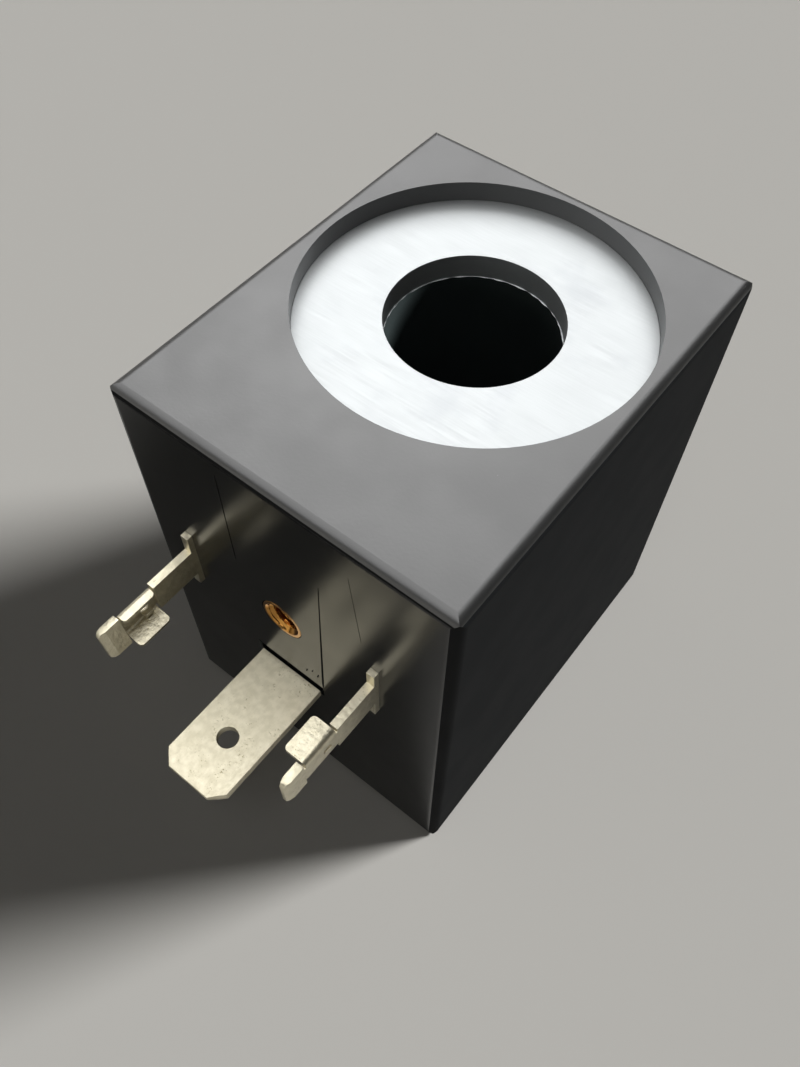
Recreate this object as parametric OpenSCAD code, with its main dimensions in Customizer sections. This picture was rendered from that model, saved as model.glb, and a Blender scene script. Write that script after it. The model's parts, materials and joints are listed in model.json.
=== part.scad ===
// Solenoid valve coil: a moulded block with a through bore, a steel flux path,
// a wound bobbin and three connector terminals on the front face.
// Millimetres. The origin is on the bore axis at the bottom face, +Z is up and
// the terminals point along -Y.

/* [Block] */
// Width of the moulded block, across the terminals
block_w = 28.6; // [25.6:0.1:32]
// Depth of the moulded block, from the terminal face to the back
block_d = 35.5; // [32:0.1:44]
// Height of the moulded block
block_h = 40.4; // [36:0.1:56]
// Moulding wall beside the steel core
side_wall = 1.3; // [1:0.1:2]
// Moulding wall behind the steel core
back_wall = 1.2; // [1:0.1:3]
// Fillet on the outer edges of the block
edge_r = 0.8; // [0.2:0.1:1.2]

/* [Bore and recess] */
// Diameter of the bore that slides over the valve stem
bore_d = 13.1; // [10:0.1:14]
// Depth of the recess above the top plate
recess_depth = 1.6; // [0.4:0.1:3]

/* [Flux path] */
// Thickness of the pole plates
plate_t = 2; // [1.5:0.1:3]
// Wall of the rolled flux tube
flux_wall = 1.5; // [1:0.1:1.8]
// Gap left at the seam of the rolled tube
flux_seam = 0.4; // [0.2:0.1:1]
// Width of the window that lets the leads out of the tube
window_w = 14; // [10:0.5:16]
// Height of the window, down from the top of the tube
window_h = 8; // [4:0.5:12]

/* [Bobbin and winding] */
// Wall of the bobbin tube
bobbin_wall = 1; // [0.6:0.1:1.5]
// Thickness of the bobbin flanges
flange_t = 1.4; // [1.2:0.1:2]
// Radial clearance between the flanges and the flux tube
flange_clearance = 0.2; // [0.1:0.05:0.4]
// How far the winding stays inside the rim of the flanges
winding_setback = 0.7; // [0.4:0.1:1]
// Thickness of the tape round the winding
tape_t = 0.2; // [0.1:0.05:0.3]
// Distance between the tape's edges and the flanges
tape_margin = 0.6; // [0.2:0.1:2]

/* [Leads] */
// Diameter of the winding's leads
lead_d = 0.5; // [0.3:0.05:0.7]
// Outer diameter of the insulating sleeves
sleeve_d = 1.1; // [0.9:0.05:1.3]
// Distance between the two leads where they leave the bobbin
lead_gap = 6; // [4:0.5:7]
// Width of the lead notches in the top flange
notch_w = 1; // [0.8:0.1:1.4]
// Radius of the solder beads on the tags
solder_r = 1; // [0.8:0.1:1.2]
// Clearance between a lead and its solder bead
solder_fit = 0.04; // [0.02:0.01:0.08]

/* [Terminal pattern] */
// Sideways offset of the terminal pattern from the bore axis
pattern_x = -1; // [-1.5:0.1:0.5]
// Height of the terminal pattern's centre above the bottom face
pattern_z = 23.75; // [20:0.05:25]
// Distance between the two power blades
blade_pitch = 18; // [16:0.1:18.5]
// Drop from the pattern's centre to the earth blade
earth_drop = 9; // [8:0.1:10]

/* [Power terminals] */
// Thickness of the power terminals, whose strip is folded double
power_t = 0.7; // [0.5:0.05:0.9]
// Height of the root shoulders
root_h = 6.3; // [5:0.1:6.5]
// How far the root shoulders stand out of the face
root_out = 0.5; // [0.2:0.1:1]
// Height of the blade
power_h = 3; // [2.8:0.1:3.6]
// Offset of the blade towards its long wing, from the middle of its root
power_shift = 0.2; // [0:0.05:0.5]
// How far the blade stands out of the face
power_out = 9.75; // [9:0.05:12]
// Distance from the face to the first edge of the wings
wing_from = 4.6; // [3.5:0.05:5]
// Length of the wings along the blade
wing_len = 3.1; // [2:0.1:3.5]
// Reach of the long wing, from the middle of the strip
wing_reach = 1.65; // [1.2:0.05:2.2]
// Reach of the short wing, from the middle of the strip
short_reach = 0.7; // [0.5:0.05:0.9]
// How far the short wing lies below the blade's edge
short_drop = 0.2; // [0.1:0.05:0.5]
// Radius of the wings' free corners
wing_corner = 0.35; // [0.1:0.05:0.5]
// Inner bend radius of the wings
bend_r = 0.15; // [0.1:0.05:0.25]
// Width of the relief cuts beside the wings
relief_w = 0.15; // [0.1:0.05:0.3]
// Chamfer on the corners of the blade's tip
power_chamfer = 0.25; // [0.1:0.05:1]
// Length of the lead-in bevel at the blade's tip
power_bevel = 0.6; // [0.3:0.1:1]
// Width of the small tongue cut out between the wings
tongue_w = 0.75; // [0.4:0.05:0.9]
// How far the tongue stands out of its layer of the strip
tongue_len = 0.55; // [0.3:0.05:0.7]
// Height of the tongue's upper face above the foot of the blade
tongue_rise = 1.1; // [1:0.05:1.4]
// Distance from the first edge of the wings to the middle of the tongue
tongue_in = 0.95; // [0.6:0.05:2.2]

/* [Earth terminal] */
// Width of the earth blade
earth_w = 6.3; // [5:0.1:6.5]
// Thickness of the earth blade
earth_t = 0.8; // [0.6:0.05:1]
// How far the earth blade stands out of the face
earth_out = 12; // [10:0.1:14]
// Chamfer on the corners of the earth blade's tip
earth_chamfer = 1.1; // [0.5:0.1:1.5]
// Length of the lead-in bevel at the tip
earth_bevel = 0.7; // [0.3:0.1:1.2]
// Diameter of the detent hole in the earth blade
earth_hole_d = 1.75; // [1.2:0.05:2.2]
// Distance from the tip to the middle of the detent hole
earth_hole_at = 4.5; // [3:0.1:6]
// Width of the tail behind the earth blade
tail_w = 4; // [3:0.1:5]
// Height of the saddle welded to the flux tube
saddle_h = 6; // [3:0.1:8]
// Gap left open in the face above the earth blade
slot_gap = 1.05; // [0.3:0.05:1.5]
// How far that gap reaches past the sides of the blade
slot_reach = 0.35; // [0.1:0.05:0.6]
// Depth of that gap
slot_depth = 0.8; // [0.3:0.1:0.9]

/* [Insert] */
// Diameter of the insert's flange, flush with the face
insert_d = 3.9; // [3.6:0.1:4.6]
// Distance between the end of the insert and the steel core
insert_gap = 1.7; // [1:0.1:3]
// Hole diameter at the root of the screw's thread
thread_d = 2.5; // [2:0.05:2.7]
// Closed end of the insert behind its thread
insert_floor = 1.4; // [1:0.1:2.5]
// Thickness of the insert's flange
insert_flange_t = 0.8; // [0.5:0.1:1]
// How far the insert's shank is smaller in radius than its flange
insert_step = 0.3; // [0.1:0.05:0.4]

/* [Carrier] */
// Moulding skin in front of the carrier
skin_t = 1.2; // [1:0.1:1.8]
// Room for the leads between the carrier and the steel core
lead_room = 3.1; // [2.6:0.1:4]
// Material of the carrier round the terminals
carrier_wall = 1.6; // [1:0.1:2]
// Corner radius of the carrier
carrier_r = 0.8; // [0.3:0.1:1]
// Length of the tags that take the leads
tag_len = 3.4; // [2.5:0.1:3.8]
// Height of those tags
tag_h = 2; // [1.5:0.1:3]
// Space left round the tags and leads
chamber_gap = 1.2; // [1:0.1:1.4]

/* [Hidden] */
$fn = 96;

// Overshoot of cutting bodies past the faces that they cut
past = 1;

// Places worked out from the sizes above
bore_r = bore_d / 2;
core_r = block_w / 2 - side_wall;
axis_to_back = core_r + back_wall;
front_y = axis_to_back - block_d;
front_room = -core_r - front_y;
recess_z = block_h - recess_depth;
tube_z0 = plate_t;
tube_z1 = recess_z - plate_t;
spool_r = bore_r + bobbin_wall;
flange_r = core_r - flux_wall - flange_clearance;
winding_r = flange_r - winding_setback;
winding_z0 = tube_z0 + flange_t;
winding_z1 = tube_z1 - flange_t;
line_x = pattern_x - blade_pitch / 2;
neutral_x = pattern_x + blade_pitch / 2;
earth_z = pattern_z - earth_drop;
carrier_t = front_room - skin_t - lead_room;
carrier_y0 = front_y + skin_t;
carrier_y1 = carrier_y0 + carrier_t;
insert_len = front_room - insert_gap;
thread_depth = insert_len - insert_floor;
tag_y = carrier_y1 + tag_len / 2;
blade_low = -power_shift - power_h / 2;
blade_high = blade_low + power_h;
wing_t = power_t / 2;
wing_high = blade_high - short_drop;
stem_to = wing_from - relief_w;
wing_to = wing_from + wing_len;
tip_from = wing_to + relief_w;
lead_r = lead_d / 2;
sleeve_r = sleeve_d / 2;

// Radii at which the winding's first and last layers give up their leads
start_r = spool_r + lead_d + notch_w / 2;
finish_r = winding_r - lead_d;

// Shares of a lead's way to its tag at its three free points, across and down
lead_across = [0.1, 0.35, 0.75];
lead_down = [0, 0.15, 0.45];
// Sides of a lead's skin, and steps between two points of its route
lead_facets = 8;
lead_steps = 4;
// First and last step of a lead's route that its sleeve covers
sleeve_steps = [2, 5];

// Colours of the pieces
moulding_black = [0.13, 0.135, 0.14];
plated_steel = [0.86, 0.87, 0.87];
bare_steel = [0.55, 0.56, 0.57];
bobbin_green = [0.12, 0.16, 0.15];
copper = [0.72, 0.41, 0.22];
tape_amber = [0.80, 0.62, 0.22];
tinned_brass = [0.86, 0.83, 0.74];
insert_brass = [0.80, 0.62, 0.30];
sleeve_white = [0.88, 0.87, 0.82];
solder_grey = [0.70, 0.71, 0.73];

// Rectangle about its own middle, with round corners
module rounded_outline(w, h, r) {
    square([w - 2 * r, h], center = true);
    square([w, h - 2 * r], center = true);
    for (x = [-1, 1], y = [-1, 1])
        translate([x * (w / 2 - r), y * (h / 2 - r)]) circle(r);
}

// Upright outline turned to face the front, from depth y0 to y1
module toward_front(y0, y1) {
    translate([0, y1, 0]) rotate([90, 0, 0]) linear_extrude(y1 - y0) children();
}

// Outline in depth and height, as a plate that is t thick across
module across(t) {
    rotate([90, 0, 90]) linear_extrude(t, center = true) children();
}

// Round bar between two heights on the bore axis
module bar(r, z0, z1) {
    translate([0, 0, z0]) cylinder(r = r, h = z1 - z0);
}

// Ring between two radii and two heights on the bore axis
module ring(r_in, r_out, z0, z1) {
    difference() {
        bar(r_out, z0, z1);
        bar(r_in, z0 - past, z1 + past);
    }
}

// Block with all twelve edges rounded, as the common part of three prisms
module rounded_block() {
    mid_y = front_y + block_d / 2;
    intersection() {
        translate([0, mid_y, 0])
            linear_extrude(block_h) rounded_outline(block_w, block_d, edge_r);
        toward_front(front_y, axis_to_back)
            translate([0, block_h / 2]) rounded_outline(block_w, block_h, edge_r);
        across(block_w)
            translate([mid_y, block_h / 2]) rounded_outline(block_d, block_h, edge_r);
    }
}

// Carrier's outline: a bar across the power terminals and a leg for the earth blade
module carrier_outline() {
    bar_w = blade_pitch + power_t + 2 * carrier_wall;
    bar_h = root_h + 2 * carrier_wall;
    leg_w = earth_w + 2 * carrier_wall;
    leg_h = earth_drop + earth_t / 2 + carrier_wall;
    translate([pattern_x, pattern_z]) {
        rounded_outline(bar_w, bar_h, carrier_r);
        translate([0, -leg_h / 2]) rounded_outline(leg_w, leg_h, carrier_r);
    }
}

// Part of a power terminal's outline that sits in the block: anchor and tag
module power_root_outline() {
    anchor_len = skin_t + carrier_t;
    translate([-root_out, -root_h / 2]) square([anchor_len + root_out, root_h]);
    translate([anchor_len - past, -tag_h / 2]) square([tag_len + past, tag_h]);
}

// Tip of a power blade, with chamfered corners and a lead-in bevel on both sides
module power_tip() {
    half_t = power_t / 2;
    tip_half_t = half_t / 2;
    intersection() {
        across(power_t + past) polygon([
            [-tip_from, blade_low], [-tip_from, blade_high],
            [power_chamfer - power_out, blade_high], [-power_out, blade_high - power_chamfer],
            [-power_out, blade_low + power_chamfer], [power_chamfer - power_out, blade_low]
        ]);
        translate([0, 0, blade_low]) linear_extrude(power_h) polygon([
            [-half_t, -tip_from], [half_t, -tip_from],
            [half_t, power_bevel - power_out], [tip_half_t, -power_out],
            [-tip_half_t, -power_out], [-half_t, power_bevel - power_out]
        ]);
    }
}

// Quarter of a bend about its own centre, between the angles of one quadrant
module bend_quarter(turn) {
    outer = bend_r + wing_t;
    rotate(turn) intersection() {
        difference() {
            circle(outer);
            circle(bend_r);
        }
        square(outer + past);
    }
}

// Cross-section through the wings: one layer of the strip, bent to the same side at foot and head
module wing_section() {
    back = -power_t / 2;
    bend = bend_r + wing_t;
    translate([back, blade_low + bend]) square([wing_t, wing_high - blade_low - 2 * bend]);
    translate([back + bend, blade_low + bend]) bend_quarter(180);
    translate([back + bend, blade_low]) square([wing_reach - back - bend, wing_t]);
    translate([back + bend, wing_high - bend]) bend_quarter(90);
    translate([back + bend, wing_high - wing_t]) square([short_reach - back - bend, wing_t]);
}

// Outline of a wing from above, with round corners at its free edge
module wing_plan(reach) {
    back = -power_t / 2 - past;
    translate([back, -wing_to]) square([reach - wing_corner - back, wing_len]);
    translate([back, wing_corner - wing_to]) square([reach - back, wing_len - 2 * wing_corner]);
    for (y = [wing_corner - wing_to, -wing_corner - wing_from])
        translate([reach - wing_corner, y]) circle(wing_corner);
}

// Long wing at the foot of the blade and short wing at its head
module power_wings() {
    middle = (blade_low + wing_high) / 2;
    intersection() {
        toward_front(-wing_to, -wing_from) wing_section();
        union() {
            translate([0, 0, blade_low - past]) linear_extrude(middle - blade_low + past)
                wing_plan(wing_reach);
            translate([0, 0, middle]) linear_extrude(wing_high - middle + past)
                wing_plan(short_reach);
        }
    }
}

// Layer of the strip that joins stem, wings and tip between the relief cuts
module power_neck() {
    bend = bend_r + wing_t;
    neck_from = stem_to - relief_w;
    neck_to = tip_from + relief_w;
    translate([-wing_t / 2, 0, 0]) across(wing_t)
        translate([-neck_to, blade_low + bend])
            square([neck_to - neck_from, wing_high - blade_low - 2 * bend]);
}

// Outer lower corner of the hole that the tongue leaves in its layer of the strip
module tongue_place() {
    y = -wing_from - tongue_in - tongue_w / 2;
    translate([-power_t / 2, y, blade_low + tongue_rise]) children();
}

// Power terminal in its own frame: face at y = 0, blade along -Y, wings towards +X
module power_terminal() {
    difference() {
        union() {
            across(power_t) {
                power_root_outline();
                translate([-stem_to, blade_low]) square([stem_to + relief_w, power_h]);
            }
            power_neck();
            power_wings();
            power_tip();
            tongue_place() translate([0, 0, -wing_t]) cube([wing_t + tongue_len, tongue_w, wing_t]);
        }
        tongue_place() translate([-past, 0, 0]) cube([wing_t + past, tongue_w, tongue_len]);
    }
}

// Line terminal's place, with its wings towards the middle
module at_line() {
    translate([line_x, front_y, pattern_z]) children();
}

// Neutral terminal's place, turned half a turn about the blade
module at_neutral() {
    translate([neutral_x, front_y, pattern_z]) rotate([0, 180, 0]) children();
}

// Tail of the earth terminal: a strip to the flux tube, and a saddle that fits it
module earth_tail() {
    half_w = tail_w / 2;
    saddle_r = core_r + earth_t;
    difference() {
        union() {
            translate([pattern_x - half_w, carrier_y1 - past, earth_z - earth_t / 2])
                cube([tail_w, past - carrier_y1, earth_t]);
            intersection() {
                bar(saddle_r, earth_z + earth_t / 2 - saddle_h, earth_z + earth_t / 2);
                translate([pattern_x - half_w, front_y, 0]) cube([tail_w, -front_y, block_h]);
            }
        }
        bar(core_r, -past, block_h);
    }
}

// Earth blade from the back of the carrier to its bevelled tip
module earth_blade() {
    half_w = earth_w / 2;
    tip_y = front_y - earth_out;
    half_t = earth_t / 2;
    tip_half_t = half_t / 2;
    intersection() {
        translate([pattern_x, 0, earth_z - half_t]) linear_extrude(earth_t) difference() {
            polygon([
                [-half_w, carrier_y1], [half_w, carrier_y1], [half_w, tip_y + earth_chamfer],
                [half_w - earth_chamfer, tip_y], [-half_w + earth_chamfer, tip_y],
                [-half_w, tip_y + earth_chamfer]
            ]);
            translate([0, tip_y + earth_hole_at]) circle(d = earth_hole_d);
        }
        translate([pattern_x, 0, earth_z]) across(earth_w + past) polygon([
            [carrier_y1, -half_t], [carrier_y1, half_t],
            [tip_y + earth_bevel, half_t], [tip_y, tip_half_t],
            [tip_y, -tip_half_t], [tip_y + earth_bevel, -half_t]
        ]);
    }
}

// Gap in the face above the earth blade, from the middle of the blade upwards
module earth_slot() {
    slot_w = earth_w + 2 * slot_reach;
    translate([pattern_x - slot_w / 2, front_y - past, earth_z])
        cube([slot_w, past + slot_depth, earth_t / 2 + slot_gap]);
}

// Insert without its hole: a flange at the face and a shank behind it
module insert_body() {
    shank_r = insert_d / 2 - insert_step;
    translate([pattern_x, front_y, pattern_z]) rotate([-90, 0, 0]) {
        cylinder(d = insert_d, h = insert_flange_t);
        cylinder(r = shank_r, h = insert_len);
    }
}

// Room behind the carrier for the tags and leads
module lead_chamber() {
    low_x = line_x - power_t / 2 - chamber_gap;
    high_x = neutral_x + power_t / 2 + chamber_gap;
    low_z = pattern_z - tag_h / 2 - chamber_gap;
    side_x = window_w / 2;
    back_y = -sqrt(core_r * core_r - side_x * side_x);
    translate([low_x, carrier_y1, low_z]) cube([high_x - low_x, back_y - carrier_y1, tube_z1 - low_z]);
}

// Points on a smooth curve through four points, from the second to the third
function curve_part(a, b, c, d, n) = [
    for (i = [0 : n - 1])
        let (t = i / n)
        0.5 * (2 * b + (c - a) * t + (2 * a - 5 * b + 4 * c - d) * t * t
            + (3 * b - a - 3 * c + d) * t * t * t)
];

// Smooth curve through all the points of a route
function curve(p, n) = [
    for (i = [0 : len(p) - 2])
        each curve_part(p[max(i - 1, 0)], p[i], p[i + 1], p[min(i + 2, len(p) - 1)], n),
    p[len(p) - 1]
];

// Vector of length 1 along v
function unit(v) = v / norm(v);

// Direction of a curve at each of its points
function headings(p) = [
    for (i = [0 : len(p) - 1]) unit(p[min(i + 1, len(p) - 1)] - p[max(i - 1, 0)])
];

// Side vectors carried along the curve without twist
function sides(t) = [
    for (i = 0, s = unit(cross(t[0], [1, 1, 0])); i < len(t);
        i = i + 1, s = i < len(t) ? unit(s - (s * t[i]) * t[i]) : s) s
];

// Points of a round tube's skin, ring by ring
function skin_points(p, t, s, r, facets) = [
    for (i = [0 : len(p) - 1], k = [0 : facets - 1])
        let (a = 360 * k / facets)
        p[i] + r * (cos(a) * s[i] + sin(a) * cross(t[i], s[i]))
];

// Faces between the rings of one skin, outwards or inwards
function skin_faces(rings, facets, first, inward) = [
    for (i = [0 : rings - 2], k = [0 : facets - 1])
        let (
            m = (k + 1) % facets,
            a = first + i * facets + k,
            b = first + i * facets + m,
            c = first + (i + 1) * facets + m,
            d = first + (i + 1) * facets + k
        )
        inward ? [a, b, c, d] : [d, c, b, a]
];

// Round wire along a smooth curve
module wire(p, r) {
    t = headings(p);
    rings = len(p);
    polyhedron(
        skin_points(p, t, sides(t), r, lead_facets),
        concat(
            skin_faces(rings, lead_facets, 0, false),
            [[for (k = [0 : lead_facets - 1]) k]],
            [[for (k = [lead_facets - 1 : -1 : 0]) (rings - 1) * lead_facets + k]]
        )
    );
}

// Hollow sleeve along the sleeved stretch of a lead's curve
module sleeve(p, r_in, r_out) {
    from = sleeve_steps[0] * lead_steps;
    to = sleeve_steps[1] * lead_steps;
    t = headings(p);
    s = sides(t);
    part_p = [for (i = [from : to]) p[i]];
    part_t = [for (i = [from : to]) t[i]];
    part_s = [for (i = [from : to]) s[i]];
    rings = len(part_p);
    inner = rings * lead_facets;
    last = inner - lead_facets;
    polyhedron(
        concat(
            skin_points(part_p, part_t, part_s, r_out, lead_facets),
            skin_points(part_p, part_t, part_s, r_in, lead_facets)
        ),
        concat(
            skin_faces(rings, lead_facets, 0, false),
            skin_faces(rings, lead_facets, inner, true),
            [for (k = [0 : lead_facets - 1]) let (m = (k + 1) % lead_facets)
                [k, m, inner + m, inner + k]],
            [for (k = [0 : lead_facets - 1]) let (m = (k + 1) % lead_facets)
                [last + m, last + k, inner + last + k, inner + last + m]]
        )
    );
}

// Places of a lead, with side -1 to the left and 1 to the right
function lead_x(side) = side * lead_gap / 2;
function lead_y(side, from_r) = -sqrt(from_r * from_r - lead_x(side) * lead_x(side));
function tag_side_x(side) = (side < 0 ? line_x : neutral_x) - side * (power_t / 2 + lead_r);

// Point of a lead's free stretch, by the shares of its way across and down to the tag
function lead_point(side, across_share, y, down_share) =
    let (x0 = lead_x(side), level = tube_z1 - flange_t / 2)
    [
        x0 + across_share * (tag_side_x(side) - x0),
        y,
        level - down_share * (level - pattern_z)
    ];

// Route of a lead: out of the winding, through the flange's notch and the tube's window,
// and down beside its tag
function lead_route(side, from_r) =
    let (x1 = tag_side_x(side), y0 = lead_y(side, from_r), out_y = -core_r - sleeve_r)
    [
        [lead_x(side), y0, winding_z1],
        lead_point(side, 0, y0 - lead_d, 0),
        lead_point(side, lead_across[0], -flange_r - sleeve_r, lead_down[0]),
        lead_point(side, lead_across[1], out_y, lead_down[1]),
        lead_point(side, lead_across[2], (out_y + tag_y) / 2, lead_down[2]),
        [x1, tag_y, pattern_z + tag_h + solder_r],
        [x1, tag_y, pattern_z + tag_h / 2 + lead_d],
        [x1, tag_y, pattern_z]
    ];

// Notch that lets one lead out through the top flange
module lead_notch(side, from_r) {
    y0 = lead_y(side, from_r) + notch_w / 2;
    translate([lead_x(side) - notch_w / 2, -flange_r - past, winding_z1 - past])
        cube([notch_w, y0 + flange_r + past, flange_t + 2 * past]);
}

// Solder dome on the inner side of a tag, with a channel for the end of its lead
module solder(side) {
    bead = 2 * solder_r;
    translate([tag_side_x(side) + side * lead_r, tag_y, pattern_z]) difference() {
        rotate([0, 90, 0]) sphere(solder_r);
        translate([side * solder_r, 0, 0]) cube([bead, 2 * bead, 2 * bead], center = true);
        translate([-side * lead_r, 0, 0]) cylinder(r = lead_r + solder_fit, h = bead);
    }
}

module encapsulation() {
    color(moulding_black) difference() {
        rounded_block();
        bar(core_r, -past, block_h + past);
        toward_front(carrier_y0, carrier_y1) carrier_outline();
        at_line() across(power_t) power_root_outline();
        at_neutral() across(power_t) power_root_outline();
        earth_blade();
        earth_slot();
        earth_tail();
        insert_body();
        lead_chamber();
    }
}

module top_pole_plate() {
    color(plated_steel) ring(bore_r, core_r, tube_z1, recess_z);
}

module bottom_pole_plate() {
    color(plated_steel) ring(bore_r, core_r, 0, plate_t);
}

module flux_tube() {
    color(bare_steel) difference() {
        ring(core_r - flux_wall, core_r, tube_z0, tube_z1);
        translate([-window_w / 2, -core_r - past, tube_z1 - window_h])
            cube([window_w, core_r, window_h + past]);
        translate([-flux_seam / 2, 0, tube_z0 - past])
            cube([flux_seam, core_r + past, tube_z1 - tube_z0 + 2 * past]);
    }
}

module bobbin() {
    color(bobbin_green) difference() {
        union() {
            bar(spool_r, tube_z0, tube_z1);
            bar(flange_r, tube_z0, winding_z0);
            bar(flange_r, winding_z1, tube_z1);
        }
        bar(bore_r, tube_z0 - past, tube_z1 + past);
        lead_notch(-1, start_r);
        lead_notch(1, finish_r);
    }
}

module winding() {
    color(copper) ring(spool_r, winding_r, winding_z0, winding_z1);
}

module winding_tape() {
    color(tape_amber)
        ring(winding_r, winding_r + tape_t, winding_z0 + tape_margin, winding_z1 - tape_margin);
}

module terminal_carrier() {
    color(moulding_black) difference() {
        toward_front(carrier_y0, carrier_y1) carrier_outline();
        at_line() across(power_t) power_root_outline();
        at_neutral() across(power_t) power_root_outline();
        earth_blade();
        earth_tail();
        insert_body();
    }
}

module line_terminal() {
    color(tinned_brass) at_line() power_terminal();
}

module neutral_terminal() {
    color(tinned_brass) at_neutral() power_terminal();
}

module earth_terminal() {
    color(tinned_brass) {
        earth_blade();
        earth_tail();
    }
}

module screw_insert() {
    color(insert_brass) difference() {
        insert_body();
        translate([pattern_x, front_y, pattern_z]) rotate([-90, 0, 0])
            translate([0, 0, -past]) cylinder(d = thread_d, h = thread_depth + past);
    }
}

module start_lead() {
    color(copper) wire(curve(lead_route(-1, start_r), lead_steps), lead_r);
}

module finish_lead() {
    color(copper) wire(curve(lead_route(1, finish_r), lead_steps), lead_r);
}

module start_sleeve() {
    color(sleeve_white) sleeve(curve(lead_route(-1, start_r), lead_steps), lead_r, sleeve_r);
}

module finish_sleeve() {
    color(sleeve_white) sleeve(curve(lead_route(1, finish_r), lead_steps), lead_r, sleeve_r);
}

module start_solder() {
    color(solder_grey) solder(-1);
}

module finish_solder() {
    color(solder_grey) solder(1);
}

encapsulation();
top_pole_plate();
bottom_pole_plate();
flux_tube();
bobbin();
winding();
winding_tape();
terminal_carrier();
line_terminal();
neutral_terminal();
earth_terminal();
screw_insert();
start_lead();
finish_lead();
start_sleeve();
finish_sleeve();
start_solder();
finish_solder();
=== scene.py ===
"""Looks of a solenoid valve coil: a black moulded block with a plated pole plate,
three stamped terminals and a brass screw insert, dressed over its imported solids.

Sizes in the classes are millimetres, and become metres where a mesh is made. Only the studio's
floor and lamps are given in metres.
"""

import json
import logging
import math
from dataclasses import dataclass, replace
from enum import Enum, IntEnum
from functools import cache

import bmesh
import bpy
import numpy as np
from mathutils import Matrix, Vector

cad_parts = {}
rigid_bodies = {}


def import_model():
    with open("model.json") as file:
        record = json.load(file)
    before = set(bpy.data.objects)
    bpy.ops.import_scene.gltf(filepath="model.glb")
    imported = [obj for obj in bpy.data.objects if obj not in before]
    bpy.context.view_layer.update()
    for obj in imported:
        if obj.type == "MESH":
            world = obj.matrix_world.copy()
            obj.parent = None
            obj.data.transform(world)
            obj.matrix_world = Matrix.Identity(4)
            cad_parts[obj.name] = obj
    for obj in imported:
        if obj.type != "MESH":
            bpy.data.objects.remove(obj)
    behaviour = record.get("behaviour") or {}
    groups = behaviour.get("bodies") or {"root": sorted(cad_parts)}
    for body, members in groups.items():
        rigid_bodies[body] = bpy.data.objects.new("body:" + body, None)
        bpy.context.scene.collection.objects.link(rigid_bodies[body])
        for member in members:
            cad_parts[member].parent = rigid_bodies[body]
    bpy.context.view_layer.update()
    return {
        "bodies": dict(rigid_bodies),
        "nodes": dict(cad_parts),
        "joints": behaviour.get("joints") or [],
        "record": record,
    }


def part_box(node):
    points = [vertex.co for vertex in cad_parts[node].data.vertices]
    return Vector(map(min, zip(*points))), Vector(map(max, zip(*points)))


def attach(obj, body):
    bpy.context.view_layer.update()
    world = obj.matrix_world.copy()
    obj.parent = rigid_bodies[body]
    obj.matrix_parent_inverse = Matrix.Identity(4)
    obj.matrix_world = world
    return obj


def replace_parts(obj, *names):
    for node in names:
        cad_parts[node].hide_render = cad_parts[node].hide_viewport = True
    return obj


LOG = logging.getLogger("coil")
MM = 0.001
BODY = "root"

# Range of a noise texture that holds nearly all its values
NOISE_LOW = 0.3
NOISE_HIGH = 0.7

# Octaves of a noise texture, from smooth spots to ragged patches
SPOTS = 2.0
GRAIN = 3.0
CLOUDS = 4.0
PATCHES = 5.0

# Settings of a Map Range node with soft ends, and of a Mix node for colours
SOFT = {"interpolation_type": "SMOOTHSTEP"}
COLOURS = {"data_type": "RGBA"}

# Vertices closer than this are one
WELD_MM = 1e-4

# Faces of a made surface that meet at more than this keep a sharp edge
SHARP_DEG = 60.0

# Bevel shape at which a rounding is part of a circle
ROUND = 0.5


class Slot(Enum):
    """Material slots of the record."""

    MOULDING = "moulding"
    POLE_PLATE = "pole_plate"
    FLUX_STEEL = "flux_steel"
    BOBBIN = "bobbin_plastic"
    COPPER = "copper_wire"
    TAPE = "tape"
    TERMINAL = "terminal_plate"
    INSERT = "insert_brass"
    SLEEVING = "sleeving"
    SOLDER = "solder"


class Mix(IntEnum):
    """Places of the sockets of a Mix node for colours, because their names repeat."""

    SHARE = 0
    START = 6
    END = 7
    RESULT = 2


class Lay(Enum):
    """Direction in which a rolled, drawn or wiped surface has its streaks."""

    ALONG_X = 0
    ALONG_Z = 2


def linear(hex_colour: str) -> tuple[float, float, float, float]:
    """Turns an sRGB hex colour into linear light.

    Args:
        hex_colour: Colour such as "#8090a0".

    Returns:
        Red, green and blue in linear light, and an alpha of 1.
    """
    channels = np.array([int(hex_colour[i : i + 2], 16) for i in (1, 3, 5)]) / 255
    dark = channels / 12.92
    bright = ((channels + 0.055) / 1.055) ** 2.4
    return (*np.where(channels <= 0.04045, dark, bright).tolist(), 1.0)


def per_mm(size_mm: float) -> float:
    """Gives the texture scale at which one feature of a pattern is size_mm long."""
    return 1 / (size_mm * MM)


def add_node(
    tree: bpy.types.NodeTree, kind: str, settings: dict[str, object], inputs: dict[str | int, object]
) -> bpy.types.Node:
    """Adds a shader node with its settings and links.

    Args:
        tree: Node tree that gets the node.
        kind: Blender's name of the node, without its prefix.
        settings: Properties of the node, by name.
        inputs: Its sockets by name or place, each with a value or with the socket that feeds it.

    Returns:
        The new node.
    """
    node = tree.nodes.new("ShaderNode" + kind)
    for name, value in settings.items():
        setattr(node, name, value)
    for name, value in inputs.items():
        if isinstance(value, bpy.types.NodeSocket):
            tree.links.new(value, node.inputs[name])
        else:
            node.inputs[name].default_value = value
    return node


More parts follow.
